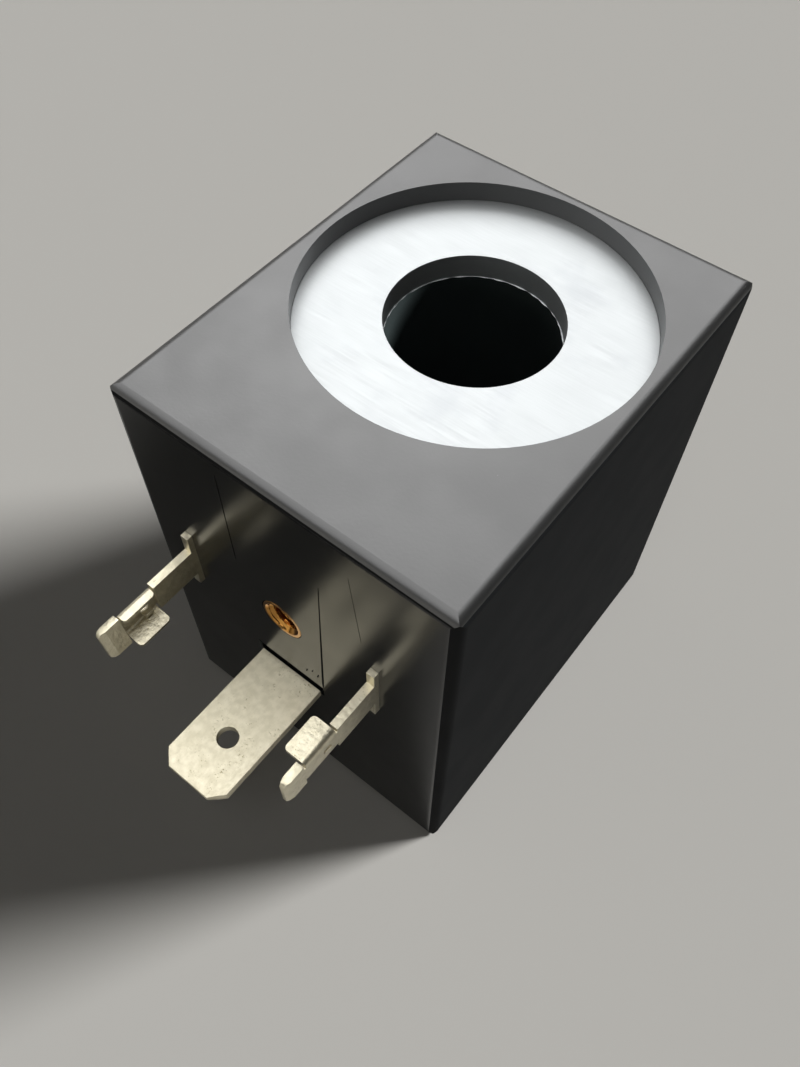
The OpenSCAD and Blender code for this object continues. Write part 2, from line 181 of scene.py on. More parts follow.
def tint(
    tree: bpy.types.NodeTree,
    pattern: bpy.types.NodeSocket,
    reach: tuple[float, float],
    start: object,
    end: object,
) -> bpy.types.NodeSocket:
    """Goes softly from one colour to another as a pattern passes through a range.

    Args:
        tree: Node tree that gets the nodes.
        pattern: Socket of the pattern.
        reach: Values of the pattern between which the colour changes.
        start: Colour at the first value, or the socket that gives it.
        end: Colour at the second value, or its socket.

    Returns:
        The socket of the colour.
    """
    share = add_node(tree, "MapRange", SOFT, {
        "Value": pattern, "From Min": reach[0], "From Max": reach[1],
    }).outputs["Result"]
    inputs = {Mix.SHARE: share, Mix.START: start, Mix.END: end}
    return add_node(tree, "Mix", COLOURS, inputs).outputs[Mix.RESULT]


@dataclass(frozen=True)
class Finish:
    """A surface finish: its name, the record's slot for it, its colour and its roughness."""

    name: str
    slot: Slot
    colour: str
    roughness: float

    def build(self) -> bpy.types.Material:
        """Makes the material of this finish.

        Returns:
            The material, with the finish's own pattern in its nodes.
        """
        material = bpy.data.materials.new(self.name)
        material.use_nodes = True
        shader = material.node_tree.nodes["Principled BSDF"]
        shader.inputs["Base Color"].default_value = linear(self.colour)
        shader.inputs["Roughness"].default_value = self.roughness
        self.pattern(material.node_tree, shader)
        return material

    def pattern(self, tree: bpy.types.NodeTree, shader: bpy.types.Node) -> None:
        """Adds the pattern of the finish to its shader."""
        raise NotImplementedError

    def skin(
        self,
        tree: bpy.types.NodeTree,
        shader: bpy.types.Node,
        cloud: bpy.types.NodeSocket,
        by: float,
        grain: bpy.types.NodeSocket,
        depth_mm: float,
    ) -> None:
        """Varies the gloss with one pattern and the relief with another.

        Args:
            tree: Node tree of the material.
            shader: Its shader.
            cloud: Socket of the pattern in the gloss.
            by: How far the roughness goes to either side.
            grain: Socket of the pattern in the relief.
            depth_mm: Depth of the relief.
        """
        gloss = add_node(tree, "MapRange", SOFT, {
            "Value": cloud, "From Min": NOISE_LOW, "From Max": NOISE_HIGH,
            "To Min": self.roughness - by, "To Max": self.roughness + by,
        }).outputs["Result"]
        tree.links.new(gloss, shader.inputs["Roughness"])
        bump = add_node(tree, "Bump", {}, {"Height": grain, "Distance": depth_mm * MM})
        tree.links.new(bump.outputs["Normal"], shader.inputs["Normal"])


@dataclass(frozen=True)
class MouldedCompound(Finish):
    """Glass-filled polyamide, injection moulded in a steel tool.

    The eye sees a black skin whose gloss follows the tool, from spark-eroded to polished. It has a
    very fine grain and a faint cloudiness, and sparse dust clings to it.
    """

    ior: float
    specular: float
    grain_mm: float
    grain_depth_mm: float
    cloud_mm: float
    cloud_spread: float
    dust_colour: str
    dust_pitch_mm: float
    dust_mm: float

    def pattern(self, tree: bpy.types.NodeTree, shader: bpy.types.Node) -> None:
        """Adds cloudiness to the gloss, dust to the colour and grain to the relief.

        Args:
            tree: Node tree of the material.
            shader: Its shader.
        """
        shader.inputs["IOR"].default_value = self.ior
        shader.inputs["Specular IOR Level"].default_value = self.specular
        position = add_node(tree, "TexCoord", {}, {}).outputs["Object"]
        cloud = add_node(tree, "TexNoise", {}, {
            "Vector": position, "Scale": per_mm(self.cloud_mm), "Detail": CLOUDS,
        }).outputs["Fac"]
        grain = add_node(tree, "TexNoise", {}, {
            "Vector": position, "Scale": per_mm(self.grain_mm), "Detail": GRAIN,
        }).outputs["Fac"]
        self.skin(tree, shader, cloud, self.cloud_spread, grain, self.grain_depth_mm)

        specks = add_node(tree, "TexVoronoi", {}, {
            "Vector": position, "Scale": per_mm(self.dust_pitch_mm),
        }).outputs["Distance"]
        reach = (self.dust_mm / self.dust_pitch_mm, 0.0)
        colour = tint(tree, specks, reach, linear(self.colour), linear(self.dust_colour))
        tree.links.new(colour, shader.inputs["Base Color"])


@dataclass(frozen=True)
class PlainMoulding(Finish):
    """A plain moulding, film or sleeving: one colour with a soft cloudiness in its gloss."""

    cloud_mm: float
    cloud_spread: float
    bump_mm: float

    def pattern(self, tree: bpy.types.NodeTree, shader: bpy.types.Node) -> None:
        """Adds the cloudiness of the gloss and a soft unevenness.

        Args:
            tree: Node tree of the material.
            shader: Its shader.
        """
        position = add_node(tree, "TexCoord", {}, {}).outputs["Object"]
        cloud = add_node(tree, "TexNoise", {}, {
            "Vector": position, "Scale": per_mm(self.cloud_mm), "Detail": GRAIN,
        }).outputs["Fac"]
        self.skin(tree, shader, cloud, self.cloud_spread, cloud, self.bump_mm)


@dataclass(frozen=True)
class StreakedMetal(Finish):
    """Rolled, drawn or plated metal: streaks along one direction, and stains across them.

    The streaks spread highlights sideways, and the stains dull the plating in patches.
    """

    stain: str
    stain_mm: float
    stain_reach: tuple[float, float]
    lay: Lay
    streak_len_mm: float
    streak_mm: float
    streak_spread: float
    streak_depth_mm: float

    def pattern(self, tree: bpy.types.NodeTree, shader: bpy.types.Node) -> None:
        """Adds the streaks to gloss and relief, and the stains to the colour.

        Args:
            tree: Node tree of the material.
            shader: Its shader.
        """
        shader.inputs["Metallic"].default_value = 1.0
        position = add_node(tree, "TexCoord", {}, {}).outputs["Object"]
        stretch = [per_mm(self.streak_mm)] * 3
        stretch[self.lay.value] = per_mm(self.streak_len_mm)
        drawn = add_node(tree, "Mapping", {}, {"Vector": position, "Scale": stretch})
        streaks = add_node(tree, "TexNoise", {}, {
            "Vector": drawn.outputs["Vector"], "Scale": 1.0, "Detail": GRAIN,
        }).outputs["Fac"]
        self.skin(tree, shader, streaks, self.streak_spread, streaks, self.streak_depth_mm)

        patches = add_node(tree, "TexNoise", {}, {
            "Vector": position, "Scale": per_mm(self.stain_mm), "Detail": PATCHES,
        }).outputs["Fac"]
        colour = tint(tree, patches, self.stain_reach, linear(self.colour), linear(self.stain))
        tree.links.new(colour, shader.inputs["Base Color"])


@dataclass(frozen=True)
class MottledPlating(Finish):
    """Tin plating on brass strip, worn by handling.

    The eye sees a warm cream metal with a soft mottle, clusters of small dull specks where the tin
    has gone, and a satin gloss broken by short scuffs that lie along the strip. From the terminal
    face inwards the strip is painted black: painted shade where it sits in the slot and enters the face.
    """

    # Painted shade: black for the strip from the terminal face inwards, where it ends in y and the width
    # of its fade
    painted_shade: str
    painted_shade_y: float
    painted_shade_band: float
    mottle: str
    mottle_mm: float
    speck: str
    speck_mm: float
    speck_reach: tuple[float, float]
    cluster_mm: float
    cluster_reach: tuple[float, float]
    scuff_len_mm: float
    scuff_mm: float
    gloss_spread: float
    relief_mm: float

    def pattern(self, tree: bpy.types.NodeTree, shader: bpy.types.Node) -> None:
        """Adds mottle, specks and painted shade at the terminal face to the colour, and the scuffs to
        gloss and relief.

        Specks show where a dot and a cluster fall together.

        Args:
            tree: Node tree of the material.
            shader: Its shader.
        """
        shader.inputs["Metallic"].default_value = 1.0
        position = add_node(tree, "TexCoord", {}, {}).outputs["Object"]
        clouds = add_node(tree, "TexNoise", {}, {
            "Vector": position, "Scale": per_mm(self.mottle_mm), "Detail": PATCHES,
        }).outputs["Fac"]
        dots = add_node(tree, "TexNoise", {}, {
            "Vector": position, "Scale": per_mm(self.speck_mm), "Detail": GRAIN,
        }).outputs["Fac"]
        clusters = add_node(tree, "TexNoise", {}, {
            "Vector": position, "Scale": per_mm(self.cluster_mm), "Detail": SPOTS,
        }).outputs["Fac"]
        mottled = tint(tree, clouds, (NOISE_LOW, NOISE_HIGH), linear(self.colour), linear(self.mottle))
        dotted = tint(tree, dots, self.speck_reach, mottled, linear(self.speck))
        worn = tint(tree, clusters, self.cluster_reach, mottled, dotted)
        # Painted shade: the strip turns black from the terminal face inwards, so that it looks shaded in
        # the slot and where it enters the face
        depth = add_node(tree, "SeparateXYZ", {}, {"Vector": position}).outputs["Y"]
        face = ((self.painted_shade_y - self.painted_shade_band) * MM, self.painted_shade_y * MM)
        colour = tint(tree, depth, face, worn, linear(self.painted_shade))
        tree.links.new(colour, shader.inputs["Base Color"])

        stretch = [per_mm(self.scuff_mm), per_mm(self.scuff_len_mm), per_mm(self.scuff_mm)]
        drawn = add_node(tree, "Mapping", {}, {"Vector": position, "Scale": stretch})
        scuffs = add_node(tree, "TexNoise", {}, {
            "Vector": drawn.outputs["Vector"], "Scale": 1.0, "Detail": GRAIN,
        }).outputs["Fac"]
        self.skin(tree, shader, scuffs, self.gloss_spread, scuffs, self.relief_mm)


@cache
def material_of(finish: Finish) -> bpy.types.Material:
    """Gives the one material of a finish, made at its first use."""
    return finish.build()


def dress(piece: bpy.types.Object, finish: Finish) -> None:
    """Gives a piece one finish all over.

    Args:
        piece: Mesh object to dress.
        finish: Finish that it gets.
    """
    piece.data.materials.clear()
    piece.data.materials.append(material_of(finish))


def box_mm(node: str) -> tuple[np.ndarray, np.ndarray]:
    """Gives the lowest and highest corner of a CAD node, in millimetres."""
    low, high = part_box(node)
    return np.array(low) / MM, np.array(high) / MM


def grid_quads(rows: int, columns: int, close_rows: bool) -> np.ndarray:
    """Numbers the quads of a grid whose columns close on themselves.

    Vertex (i, j) has the number i * columns + j, and quad (i, j) joins rows i and i + 1.

    Args:
        rows: Number of rows.
        columns: Number of columns, of which the last joins the first.
        close_rows: Whether the last row joins the first one too.

    Returns:
        An array with the four vertex numbers of each quad.
    """
    i = np.arange(rows if close_rows else rows - 1)[:, None]
    j = np.arange(columns)[None, :]
    below, right = (i + 1) % rows, (j + 1) % columns
    quads = np.stack([
        i * columns + j, i * columns + right, below * columns + right, below * columns + j,
    ], -1)
    return quads.reshape(-1, 4)


def new_piece(name: str, mesh: bpy.types.Mesh) -> bpy.types.Object:
    """Makes a piece that rides on the coil.

    Args:
        name: Name of the piece.
        mesh: Its mesh.

    Returns:
        The piece, at the origin.
    """
    piece = bpy.data.objects.new(name, mesh)
    bpy.context.scene.collection.objects.link(piece)
    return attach(piece, BODY)


def closed_piece(
    name: str, points: np.ndarray, quads: np.ndarray, finish: Finish, sharp_deg: float = SHARP_DEG
) -> bpy.types.Object:
    """Makes a dressed piece from a closed grid surface.

    The sign of the volume, a sum of the tetrahedra between the origin and each quad's halves,
    tells whether the faces look outwards, and turns them if they don't.

    Args:
        name: Name of the piece.
        points: Vertices in millimetres, one row of three numbers each.
        quads: Four vertex numbers for each face.
        finish: Finish that it gets.
        sharp_deg: Angle between faces above which an edge stays sharp.

    Returns:
        The piece.
    """
    a, b, c, d = (points[quads[:, k]] for k in range(4))
    volume = np.einsum("ij,ij->", a, np.cross(b, c)) + np.einsum("ij,ij->", a, np.cross(c, d))
    if volume < 0:
        quads = quads[:, ::-1]
    mesh = bpy.data.meshes.new(name)
    mesh.from_pydata((points * MM).tolist(), [], quads.tolist())
    weld = bmesh.new()
    weld.from_mesh(mesh)
    bmesh.ops.remove_doubles(weld, verts=weld.verts, dist=WELD_MM * MM)
    weld.to_mesh(mesh)
    weld.free()
    mesh.shade_smooth()
    mesh.set_sharp_from_angle(angle=math.radians(sharp_deg))
    piece = new_piece(name, mesh)
    dress(piece, finish)
    return piece


def rounded_profile(corners: np.ndarray, radii: np.ndarray, steps: int, hold: float) -> np.ndarray:
    """Rounds the corners of a closed outline with arcs.

    Each right-angled corner at P, with unit directions u back and v on along the outline, becomes
    P + r (u + v) - r (u cos a + v sin a) for a from a right angle to nothing, with one more point
    at a short hold before and after it, which keeps the flats flat under smooth shading.

    Args:
        corners: Corner points in order, each with two numbers.
        radii: Radius at each corner.
        steps: Number of steps in each arc.
        hold: Distance from an arc's end to its holding point.

    Returns:
        The points of the rounded outline.
    """
    back = np.roll(corners, 1, axis=0) - corners
    on = np.roll(corners, -1, axis=0) - corners
    back /= np.linalg.norm(back, axis=1, keepdims=True)
    on /= np.linalg.norm(on, axis=1, keepdims=True)
    angle = np.linspace(math.pi / 2, 0, steps + 1)[None, :, None]
    p, r = corners[:, None, :], radii[:, None, None]
    u, v = back[:, None, :], on[:, None, :]
    arc = p + r * (u + v) - r * (v * np.sin(angle) + u * np.cos(angle))
    before = p + (r + hold) * u
    after = p + (r + hold) * v
    return np.concatenate([before, arc, after], axis=1).reshape(-1, 2)


def revolve(profile: np.ndarray, segments: int) -> np.ndarray:
    """Turns a profile about the bore axis.

    Point (i, j) is (r_i cos a_j, r_i sin a_j, z_i), with a_j going once round.

    Args:
        profile: Radius and height of each profile point.
        segments: Number of steps round the axis.

    Returns:
        The vertices, row by row.
    """
    angle = np.linspace(0, 2 * math.pi, segments, endpoint=False)
    r, z = profile[:, :1], profile[:, 1:]
    return np.stack([r * np.cos(angle), r * np.sin(angle), z + 0 * angle], -1).reshape(-1, 3)


def flat_tube(centres: np.ndarray, across: np.ndarray, out: np.ndarray, facets: int) -> np.ndarray:
    """Carries an ellipse along a line.

    Point (i, j) is C_i + A_i cos a_j + O_i sin a_j, with a_j going once round the ellipse.

    Args:
        centres: Points of the line.
        across: Half axis of the ellipse across the line, at each point.
        out: Its other half axis, at each point.
        facets: Number of points round the ellipse.

    Returns:
        The vertices, ring by ring.
    """
    angle = np.linspace(0, 2 * math.pi, facets, endpoint=False)[None, :, None]
    rings = centres[:, None] + across[:, None] * np.cos(angle) + out[:, None] * np.sin(angle)
    return rings.reshape(-1, 3)


@dataclass(frozen=True)
class BrokenEdges:
    """How tumbling breaks the edges of a stamped part: the rounding, and what counts as an edge.

    Faces coplanar within flat_deg join into flats. Edges over corner_deg are broken. A flat larger
    than flat_mm2 keeps its edges crisp in shading, and the small facets of bends run together.
    """

    width: float
    steps: int
    flat_deg: float
    corner_deg: float
    flat_mm2: float

    def copy(self, frame: dict, node: str, name: str) -> bpy.types.Object:
        """Copies a CAD node and breaks its edges.

        Args:
            frame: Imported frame.
            node: CAD node that the copy stands for.
            name: Name of the copy.

        Returns:
            The copy, which replaces the node.
        """
        source = frame["nodes"][node].data
        mesh = bpy.data.meshes.new(name)
        mesh.from_pydata([v.co for v in source.vertices], [], [list(p.vertices) for p in source.polygons])
        solid = bmesh.new()
        solid.from_mesh(mesh)
        bmesh.ops.remove_doubles(solid, verts=solid.verts, dist=WELD_MM * MM)
        bmesh.ops.dissolve_limit(
            solid, angle_limit=math.radians(self.flat_deg), verts=solid.verts, edges=solid.edges
        )
        corner = math.radians(self.corner_deg)
        bmesh.ops.bevel(
            solid, geom=[edge for edge in solid.edges if edge.calc_face_angle(0.0) > corner],
            offset=self.width * MM, segments=self.steps, profile=ROUND,
            affect="EDGES", clamp_overlap=True,
        )
        for face in solid.faces:
            face.smooth = True
        flat = self.flat_mm2 * MM**2
        for edge in solid.edges:
            small = all(face.calc_area() < flat for face in edge.link_faces)
            edge.smooth = small and edge.calc_face_angle(0.0) < corner
        solid.to_mesh(mesh)
        solid.free()
        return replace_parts(new_piece(name, mesh), node)


# Black glass-filled polyamide off a stoned tool: a satin skin that shows the light as a grey haze
SATIN = MouldedCompound(
    name="glass_filled_polyamide_satin",
    slot=Slot.MOULDING,
    colour="#151617",
    roughness=0.38,
    ior=1.6,
    specular=1.0,
    grain_mm=0.22,
    grain_depth_mm=0.006,
    cloud_mm=5.0,
    cloud_spread=0.03,
    dust_colour="#8a8d8e",
    dust_pitch_mm=3.2,
    dust_mm=0.06,
)

# The same compound off a spark-eroded tool: dull black with hardly any sheen
ERODED = replace(SATIN, name="glass_filled_polyamide_eroded", roughness=0.9, ior=1.5, specular=0.12)

# The same compound off a polished slide: it mirrors what stands before it, under faint smears
POLISHED = replace(
    SATIN,
    name="glass_filled_polyamide_polished",
    roughness=0.24,
    ior=1.5,
    grain_depth_mm=0.0,
    specular=0.28,
    cloud_mm=2.5,
    cloud_spread=0.02,
)

# Flash of the same compound, squeezed out where parts of the mould met: dead matt and deep black
FLASH = replace(ERODED, name="glass_filled_polyamide_flash", colour="#0c0c0d")

# Rolled steel strip with a bright zinc plating: pale grey, with fine streaks along the strip
PLATE = StreakedMetal(
    name="zinc_plated_rolled_steel",
    slot=Slot.POLE_PLATE,
    colour="#b8bbbc",
    roughness=0.52,
    stain="#b2b5b7",
    stain_mm=5.0,
    stain_reach=(0.5, 0.7),
    lay=Lay.ALONG_X,
    streak_len_mm=3.5,
    streak_mm=0.09,
    streak_spread=0.04,
    streak_depth_mm=0.003,
)

# Bare mild steel, rolled into a tube: mid grey and dull, drawn along its height
FLUX_STEEL = StreakedMetal(
    name="mild_steel_rolled",
    slot=Slot.FLUX_STEEL,
    colour="#8f9193",
    roughness=0.45,
    stain="#6f6f6e",
    stain_mm=4.0,
    stain_reach=(0.5, 0.7),
    lay=Lay.ALONG_Z,
    streak_len_mm=6.0,
    streak_mm=0.12,
    streak_spread=0.06,
    streak_depth_mm=0.003,
)

# Brass strip with a thin tin plating: warm cream metal, mottled by handling
TINNED = MottledPlating(
    name="tin_plated_brass_strip",
    slot=Slot.TERMINAL,
    colour="#ddd6bf",
    roughness=0.46,
    # Painted shade: black from the terminal face inwards, fading in over the 0.06 mm in front of it
    painted_shade="#101011",
    painted_shade_y=-21.28,
    painted_shade_band=0.06,
    mottle="#cfc8b0",
    mottle_mm=0.6,
    speck="#9d9577",
    speck_mm=0.16,
    speck_reach=(0.58, 0.7),
    cluster_mm=1.5,
    cluster_reach=(0.48, 0.68),
    scuff_len_mm=0.6,
    scuff_mm=0.15,
    gloss_spread=0.06,
    relief_mm=0.003,
)

# The same strip where it was bent and lanced: the press has stretched the plating into a grain, which
# is drawn about twice as coarse as it is, so that it shows
FORMED = replace(
    TINNED,
    name="tin_plated_brass_strip_formed",
    roughness=0.38,
    scuff_len_mm=0.35,
    scuff_mm=0.35,
    relief_mm=0.04,
)

# Turned brass: yellow metal with rings left by the tool
BRASS = StreakedMetal(
    name="turned_brass",
    slot=Slot.INSERT,
    colour="#b07f40",
    roughness=0.14,
    stain="#6f4a22",
    stain_mm=1.2,
    stain_reach=(0.5, 0.7),
    lay=Lay.ALONG_X,
    streak_len_mm=0.6,
    streak_mm=0.06,
    streak_spread=0.06,
    streak_depth_mm=0.001,
)

# Enamelled copper wire: reddish metal under a clear amber enamel
COPPER = StreakedMetal(
    name="enamelled_copper_wire",
    slot=Slot.COPPER,
    colour="#b8703f",
    roughness=0.25,
    stain="#a55f33",
    stain_mm=3.0,
    stain_reach=(0.5, 0.7),
    lay=Lay.ALONG_X,
    streak_len_mm=8.0,
    streak_mm=0.25,
    streak_spread=0.05,
    streak_depth_mm=0.02,
)

# Soft solder: grey metal that set with a smooth, slightly frosted skin
SOLDER = StreakedMetal(
    name="tin_solder_set",
    slot=Slot.SOLDER,
    colour="#b9bbbe",
    roughness=0.3,
    stain="#9b9da0",
    stain_mm=0.8,
    stain_reach=(0.5, 0.7),
    lay=Lay.ALONG_Z,
    streak_len_mm=0.5,
    streak_mm=0.3,
    streak_spread=0.05,
    streak_depth_mm=0.003,
)

# Polyamide, moulded: a very dark green that reads as black in the bore
BOBBIN = PlainMoulding(
    name="polyamide_dark_green_moulded",
    slot=Slot.BOBBIN,
    colour="#3d4545",
    roughness=0.34,
    cloud_mm=3.0,
    cloud_spread=0.05,
    bump_mm=0.01,
)

# Polyester film tape: amber and glossy, with a slight unevenness where it laps
TAPE = PlainMoulding(
    name="polyester_film_tape",
    slot=Slot.TAPE,
    colour="#c98f2a",
    roughness=0.22,
    cloud_mm=4.0,
    cloud_spread=0.04,
    bump_mm=0.03,
)

# Glass-fibre sleeving, woven and varnished: off-white with a fine weave
SLEEVING = PlainMoulding(
    name="glass_fibre_sleeving_woven",
    slot=Slot.SLEEVING,
    colour="#dcd8c8",
    roughness=0.6,
    cloud_mm=0.2,
    cloud_spread=0.08,
    bump_mm=0.03,
)

# Finishes of the CAD nodes that keep their own mesh
NODE_FINISHES = {
    "terminal_carrier": ERODED,
    "flux_tube": FLUX_STEEL,
    "bobbin": BOBBIN,
    "winding": COPPER,
    "winding_tape": TAPE,
    "start_lead": COPPER,
    "finish_lead": COPPER,
    "start_sleeve": SLEEVING,
    "finish_sleeve": SLEEVING,
    "start_solder": SOLDER,
    "finish_solder": SOLDER,
}


@dataclass
class MagneticCircuit:
    """The two pole plates, stamped rings with slightly rounded edges, and the burr of the top one."""

    edge_break: float = 0.03
    hold: float = 0.06
    arc_steps: int = 5
    segments: int = 192
    burr_reach: float = 0.09
    burr_height: float = 0.07
    burr_seed: int = 7
    burr_facets: int = 8
    burr_steps: int = 768
    burr_first_wave: int = 3
    burr_waves: int = 40
    burr_share: float = 0.55
    burr_ragged: float = 0.3
    burr_least: float = 0.05

    def plate(self, node: str, name: str, bore_r: float) -> bpy.types.Object:
        """Builds one pole plate in the place of its CAD node.

        Args:
            node: CAD node of the plate.
            name: Name of the piece.
            bore_r: Radius of the bore.

        Returns:
            The plate.
        """
        low, high = box_mm(node)
        rim_r = (high[0] - low[0]) / 2
        corners = np.array([[bore_r, low[2]], [rim_r, low[2]], [rim_r, high[2]], [bore_r, high[2]]])
        radii = np.full(len(corners), self.edge_break)
        profile = rounded_profile(corners, radii, self.arc_steps, self.hold)
        quads = grid_quads(len(profile), self.segments, close_rows=True)
        piece = closed_piece(name, revolve(profile, self.segments), quads, PLATE)
        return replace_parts(piece, node)

    def burr(self, name: str, bore_r: float, height: float) -> bpy.types.Object:
        """Builds the ragged burr round the lower edge of the top plate's bore.

        It is an ellipse carried round a circle. The share of its full size that it has is a sum of
        waves with seeded phases about a middle share, so that it comes and goes as a punched burr does.

        Args:
            name: Name of the piece.
            bore_r: Radius of the bore.
            height: Height of the edge above the bottom face.

        Returns:
            The burr.
        """
        angle = np.linspace(0, 2 * math.pi, self.burr_steps, endpoint=False)
        random = np.random.default_rng(self.burr_seed)
        waves = self.burr_first_wave + np.arange(self.burr_waves)
        phases = random.uniform(0, 2 * math.pi, self.burr_waves)
        rough = np.cos(waves[:, None] * angle + phases[:, None]).sum(0) / math.sqrt(self.burr_waves / 2)
        share = np.clip(self.burr_share + self.burr_ragged * rough, self.burr_least, 1)[:, None]
        outward = np.stack([np.cos(angle), np.sin(angle), 0 * angle], -1)
        centres = bore_r * outward + np.array([0, 0, height])
        across = share * self.burr_reach * outward
        out = share * self.burr_height / 2 * np.array([0, 0, 1.0])
        points = flat_tube(centres, across, out, self.burr_facets)
        quads = grid_quads(self.burr_steps, self.burr_facets, close_rows=True)
        return closed_piece(name, points, quads, PLATE)

    def build(self, bore_r: float) -> None:
        """Builds both plates and the burr.

        Args:
            bore_r: Radius of the bore.
        """
        for node, name in (
            ("top_pole_plate", "top_plate_ring"),
            ("bottom_pole_plate", "bottom_plate_ring"),
        ):
            self.plate(node, name, bore_r)
            LOG.info("built %s", name)
        low, _ = box_mm("top_pole_plate")
        self.burr("bore_burr", bore_r, low[2])
        LOG.info("built bore_burr")


@dataclass
class ScrewInsert:
    """The turned brass insert with its internal thread, flush with the terminal face."""

    flange_t: float = 0.8
    step: float = 0.3
    edge: float = 0.08
    pitch: float = 0.5
    thread_h: float = 0.26
    thread_flat: float = 0.125
    mouth: float = 0.12
    rows_per_turn: int = 12
    segments: int = 96
    sharp_deg: float = 40.0

    def build(self, thread_r: float, depth: float) -> bpy.types.Object:
        """Builds the insert as one surface turned about its axis.

        The radius of the hole at angle a and depth d is the larger of the mouth's cone, which is
        the thread's root radius plus the mouth less d, and of the thread. The thread's radius is
        its crest radius plus its height times a wave of d / pitch + a / turn, flattened at both ends.

        Args:
            thread_r: Radius at the crests of the thread.
            depth: Depth of the thread.

        Returns:
            The insert, which replaces its CAD node.
        """
        low, high = box_mm("screw_insert")
        flange_r = (high[0] - low[0]) / 2
        shank_r = flange_r - self.step
        length = high[1] - low[1]
        turn = np.linspace(0, 1, self.segments, endpoint=False)
        d = np.linspace(depth, 0, int(depth / self.pitch * self.rows_per_turn))[:, None]
        wave = np.abs(2 * np.mod(d / self.pitch + turn, 1) - 1)
        flattened = (1 + 2 * self.thread_flat) * wave - self.thread_flat
        crest = thread_r + self.thread_h * np.clip(flattened, 0, 1)
        hole = np.maximum(crest, thread_r + self.thread_h + self.mouth - d)
        shell = np.array([
            [flange_r - self.edge, 0], [flange_r, self.edge], [flange_r, self.flange_t],
            [shank_r, self.flange_t], [shank_r, length], [0, length],
        ])
        ones = np.ones_like(turn)
        r = np.concatenate([0 * ones[None], hole, shell[:, :1] * ones])
        y = np.concatenate([depth * ones[None], d * ones, shell[:, 1:] * ones])
        angle = 2 * math.pi * turn
        axis_x, axis_z = (low[0] + high[0]) / 2, (low[2] + high[2]) / 2
        points = np.stack([axis_x + r * np.cos(angle), low[1] + y, axis_z + r * np.sin(angle)], -1)
        quads = grid_quads(len(r), self.segments, close_rows=False)
        piece = closed_piece("threaded_insert", points.reshape(-1, 3), quads, BRASS, self.sharp_deg)
        LOG.info("built threaded_insert")
        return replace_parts(piece, "screw_insert")


@dataclass(frozen=True)
class HandBend:
    """A bend left by handling: the box of what is turned, and the hinge in x and z it turns about.

    The faces are cut at some places in y first, so that only what lies between them is twisted.
    """

    low: tuple[float, float, float]
    high: tuple[float, float, float]
    hinge: tuple[float, float]
    angle_deg: float
    cuts: tuple[float, ...] = ()

    def turn(self, piece: bpy.types.Object) -> None:
        """Turns the part of a piece that lies in the box about the hinge, which runs along y.

        With u and w as the distances from the hinge in x and z, a point goes to
        u cos a + w sin a and w cos a - u sin a.

        Args:
            piece: Piece to bend.
        """
        solid = bmesh.new()
        solid.from_mesh(piece.data)
        for y in self.cuts:
            everything = [*solid.verts, *solid.edges, *solid.faces]
            made = bmesh.ops.bisect_plane(
                solid, geom=everything, dist=WELD_MM * MM, plane_co=(0, y * MM, 0), plane_no=(0, 1, 0)
            )
            for edge in set(made["geom_cut"]).intersection(solid.edges):
                edge.smooth = False
        solid.to_mesh(piece.data)
        solid.free()
        points = np.empty(3 * len(piece.data.vertices))
        piece.data.vertices.foreach_get("co", points)
        points = points.reshape(-1, 3) / MM
        inside = np.all((points > self.low) & (points < self.high), axis=1)
        centre = np.array([self.hinge[0], 0.0, self.hinge[1]])
        turn = np.array(Matrix.Rotation(math.radians(self.angle_deg), 3, "Y"))
        points[inside] = (points[inside] - centre) @ turn.T + centre
        piece.data.vertices.foreach_set("co", (points * MM).reshape(-1))
        piece.data.update()


@dataclass
class Terminals:
    """The two power blades and the earth blade, stamped from strip.

    Handling has bent the line blade's long wing down about the line where it leaves its bend, and
    has twisted its tip about its upper edge, at the neck behind it.
    """

    edges: BrokenEdges = BrokenEdges(width=0.06, steps=3, flat_deg=1.0, corner_deg=50.0, flat_mm2=1.2)
    line_bends: tuple[HandBend, ...] = (
        HandBend(
            low=(-9.84, -29.01, 22.04), high=(-8.3, -25.89, 22.41), hinge=(-9.85, 22.225), angle_deg=10.0
        ),
        HandBend(
            low=(-10.4, -31.1, 22.0), high=(-9.6, -29.14, 25.1), hinge=(-10.0, 25.05), angle_deg=-10.0,
            cuts=(-29.145, -29.01),
        ),
    )

    def build(self, frame: dict) -> None:
        """Builds the three terminals with broken edges.

        Args:
            frame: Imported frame.
        """
        for node, name, finish in (
            ("line_terminal", "line_blade", FORMED),
            ("neutral_terminal", "neutral_blade", FORMED),
            ("earth_terminal", "earth_blade", TINNED),
        ):
            piece = self.edges.copy(frame, node, name)
            for bend in self.line_bends if node == "line_terminal" else ():
                bend.turn(piece)
            dress(piece, finish)
            LOG.info("built %s", name)


@dataclass(frozen=True)
class FaceMark:
    """A low ridge on the terminal face: a line where two parts of the mould met, or a crumb of flash."""

    name: str
    start: tuple[float, float]
    end: tuple[float, float]
    half_w: tuple[float, float]
    half_t: float
    finish: Finish


